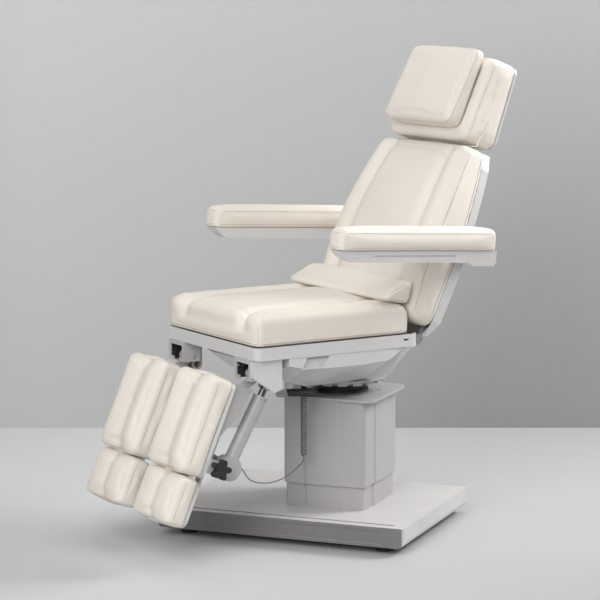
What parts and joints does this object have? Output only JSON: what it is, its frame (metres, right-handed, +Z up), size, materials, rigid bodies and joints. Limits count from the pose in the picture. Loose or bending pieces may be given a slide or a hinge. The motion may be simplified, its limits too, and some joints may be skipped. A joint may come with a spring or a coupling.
{
  "type": "podiatry chair",
  "caption": "Swivelling treatment chair on a lifting column with a tilting seat, reclining back, two separate leg rests with pull-out foot pads, folding armrests and a headrest.",
  "frame": {"origin": "centre of the footprint on the floor, at the height of the feet's lower faces", "axes": "+Z up, the sitter faces -Y, +X on the side that the camera sees, which node names call right"},
  "size_m": [1.0095, 1.2722, 1.4834],
  "materials": {
    "paint": "satin",
    "shell": "gloss",
    "leather": "satin",
    "steel": "brushed",
    "black": "matte",
    "chrome": "polished",
    "cord": "matte"
  },
  "bodies": {
    "base": {"base_cover": "paint", "base_frame": "steel", "lower_shroud": "paint", "guide_column": "steel"},
    "lift": {"inner_column": "steel", "upper_shroud": "paint", "top_plate": "paint", "turntable_race": "black"},
    "swivel": {"turntable_disc": "paint", "tilt_yoke": "steel"},
    "seat": {"seat_frame": "steel", "seat_pan": "shell", "seat_cushion": "leather", "hinge_pins": "steel", "leg_hinge_blocks": "paint", "leg_hinge_covers": "shell", "back_drive": "black", "cord_gland": "black", "curly_cord": "cord", "lead_cord": "cord"},
    "lever": {"lock_lever": "black"},
    "back": {"back_frame": "steel", "back_shell": "shell", "back_cushion": "leather"},
    "lumbar": {"lumbar_cushion": "leather"},
    "head_mast": {"head_posts": "chrome"},
    "head": {"head_shell": "shell", "head_cushion": "leather", "pillow_elastic": "cord"},
    "pillow": {"head_pillow": "leather"},
    "foot_front_right_body": {"foot_front_right": "black"},
    "foot_front_left_body": {"foot_front_left": "black"},
    "foot_rear_right_body": {"foot_rear_right": "black"},
    "foot_rear_left_body": {"foot_rear_left": "black"},
    "hub_right": {"arm_hub_right": "black"},
    "arm_right": {"arm_bracket_right": "shell", "arm_pad_right": "leather"},
    "hub_left": {"arm_hub_left": "black"},
    "arm_left": {"arm_bracket_left": "shell", "arm_pad_left": "leather"},
    "leg_right": {"leg_arm_right": "paint", "calf_shell_right": "shell", "calf_cushion_right": "leather"},
    "toe_right": {"foot_shell_right": "shell", "foot_cushion_right": "leather", "guide_bar_right": "steel"},
    "knob_right": {"star_knob_right": "black"},
    "drive_right": {"drive_tube_right": "shell"},
    "piston_right": {"drive_rod_right": "black"},
    "latch_right": {"latch_right": "steel"},
    "leg_left": {"leg_arm_left": "paint", "calf_shell_left": "shell", "calf_cushion_left": "leather"},
    "toe_left": {"foot_shell_left": "shell", "foot_cushion_left": "leather", "guide_bar_left": "steel"},
    "knob_left": {"star_knob_left": "black"},
    "drive_left": {"drive_tube_left": "shell"},
    "piston_left": {"drive_rod_left": "black"},
    "latch_left": {"latch_left": "steel"}
  },
  "joints": [
    {"name": "lift", "type": "slide", "parent": "base", "child": "lift", "axis": [0, 0, 1], "range_m": [-0.06, 0.19]},
    {"name": "swivel", "type": "hinge", "parent": "lift", "child": "swivel", "pos_m": [0.068, 0.119, 0.464], "axis": [0, 0, 1], "range_deg": [-173, 67]},
    {"name": "seat_tilt", "type": "hinge", "parent": "swivel", "child": "seat", "pos_m": [0.068, 0.169, 0.535], "axis": [-1, 0, 0], "range_deg": [0, 12]},
    {"name": "lever_turn", "type": "hinge", "parent": "seat", "child": "lever", "pos_m": [0.184, -0.14, 0.466], "axis": [0, 0, -1], "range_deg": [0, 25]},
    {"name": "back_recline", "type": "hinge", "parent": "seat", "child": "back", "pos_m": [0.068, 0.244, 0.612], "axis": [-1, 0, 0], "range_deg": [0, 66]},
    {"name": "arm_level_right", "type": "hinge", "parent": "back", "child": "hub_right", "pos_m": [0.344, 0.40274, 0.85921], "axis": [-1, 0, 0], "range_deg": [-66, 0]},
    {"name": "arm_lift_right", "type": "hinge", "parent": "hub_right", "child": "arm_right", "pos_m": [0.378, 0.40274, 0.85921], "axis": [-1, 0, 0], "range_deg": [0, 85]},
    {"name": "arm_level_left", "type": "hinge", "parent": "back", "child": "hub_left", "pos_m": [-0.208, 0.40274, 0.85921], "axis": [-1, 0, 0], "range_deg": [-66, 0]},
    {"name": "arm_lift_left", "type": "hinge", "parent": "hub_left", "child": "arm_left", "pos_m": [-0.242, 0.40274, 0.85921], "axis": [-1, 0, 0], "range_deg": [0, 85]},
    {"name": "lumbar_slide", "type": "slide", "parent": "back", "child": "lumbar", "axis": [0, 0.2756, 0.9613], "range_m": [0, 0.12]},
    {"name": "head_slide", "type": "slide", "parent": "back", "child": "head_mast", "axis": [0, 0.3987, 0.9171], "range_m": [0, 0.12]},
    {"name": "head_tilt", "type": "hinge", "parent": "head_mast", "child": "head", "pos_m": [0.068, 0.53269, 1.20071], "axis": [-1, 0, 0], "range_deg": [0, 35]},
    {"name": "pillow_slide", "type": "slide", "parent": "head", "child": "pillow", "axis": [0, 0.3987, 0.9171], "range_m": [0, 0.05]},
    {"name": "leg_lift_right", "type": "hinge", "parent": "seat", "child": "leg_right", "pos_m": [0.268, -0.311, 0.548], "axis": [-1, 0, 0], "range_deg": [0, 66]},
    {"name": "toe_slide_right", "type": "slide", "parent": "leg_right", "child": "toe_right", "axis": [0, -0.3971, -0.9178], "range_m": [0, 0.15]},
    {"name": "knob_turn_right", "type": "hinge", "parent": "leg_right", "child": "knob_right", "pos_m": [0.343, -0.46842, 0.2925], "axis": [1, 0, 0], "continuous": true},
    {"name": "drive_swing_right", "type": "hinge", "parent": "leg_right", "child": "drive_right", "pos_m": [0.283, -0.41363, 0.28187], "axis": [-1, 0, 0], "range_deg": [-2.18, 0.2]},
    {"name": "drive_stroke_right", "type": "slide", "parent": "drive_right", "child": "piston_right", "axis": [0, 0.4925, 0.8703], "range_m": [-0.0005, 0.04744]},
    {"name": "latch_turn_right", "type": "hinge", "parent": "seat", "child": "latch_right", "pos_m": [0.235, -0.331, 0.575], "axis": [-1, 0, 0], "range_deg": [0, 20]},
    {"name": "leg_lift_left", "type": "hinge", "parent": "seat", "child": "leg_left", "pos_m": [-0.132, -0.311, 0.548], "axis": [-1, 0, 0], "range_deg": [0, 66]},
    {"name": "toe_slide_left", "type": "slide", "parent": "leg_left", "child": "toe_left", "axis": [0, -0.3971, -0.9178], "range_m": [0, 0.15]},
    {"name": "knob_turn_left", "type": "hinge", "parent": "leg_left", "child": "knob_left", "pos_m": [-0.207, -0.46842, 0.2925], "axis": [1, 0, 0], "continuous": true},
    {"name": "drive_swing_left", "type": "hinge", "parent": "leg_left", "child": "drive_left", "pos_m": [-0.147, -0.41363, 0.28187], "axis": [-1, 0, 0], "range_deg": [-2.18, 0.2]},
    {"name": "drive_stroke_left", "type": "slide", "parent": "drive_left", "child": "piston_left", "axis": [0, 0.4925, 0.8703], "range_m": [-0.0005, 0.04744]},
    {"name": "latch_turn_left", "type": "hinge", "parent": "seat", "child": "latch_left", "pos_m": [-0.099, -0.331, 0.575], "axis": [-1, 0, 0], "range_deg": [0, 20]},
    {"name": "foot_screw_front_right", "type": "slide", "parent": "base", "child": "foot_front_right_body", "axis": [0, 0, 1], "range_m": [-0.008, 0.008]},
    {"name": "foot_screw_front_left", "type": "slide", "parent": "base", "child": "foot_front_left_body", "axis": [0, 0, 1], "range_m": [-0.008, 0.008]},
    {"name": "foot_screw_rear_right", "type": "slide", "parent": "base", "child": "foot_rear_right_body", "axis": [0, 0, 1], "range_m": [-0.008, 0.008]},
    {"name": "foot_screw_rear_left", "type": "slide", "parent": "base", "child": "foot_rear_left_body", "axis": [0, 0, 1], "range_m": [-0.008, 0.008]}
  ],
  "couplings": [
    {"joint": "arm_level_right", "follows": "back_recline", "ratio": -1},
    {"joint": "arm_level_left", "follows": "back_recline", "ratio": -1},
    {"joint": "drive_swing_right", "follows": "leg_lift_right", "ratio": -0.03},
    {"joint": "drive_stroke_right", "follows": "leg_lift_right", "m_per_rad": 0.04075},
    {"joint": "drive_swing_left", "follows": "leg_lift_left", "ratio": -0.03},
    {"joint": "drive_stroke_left", "follows": "leg_lift_left", "m_per_rad": 0.04075}
  ]
}
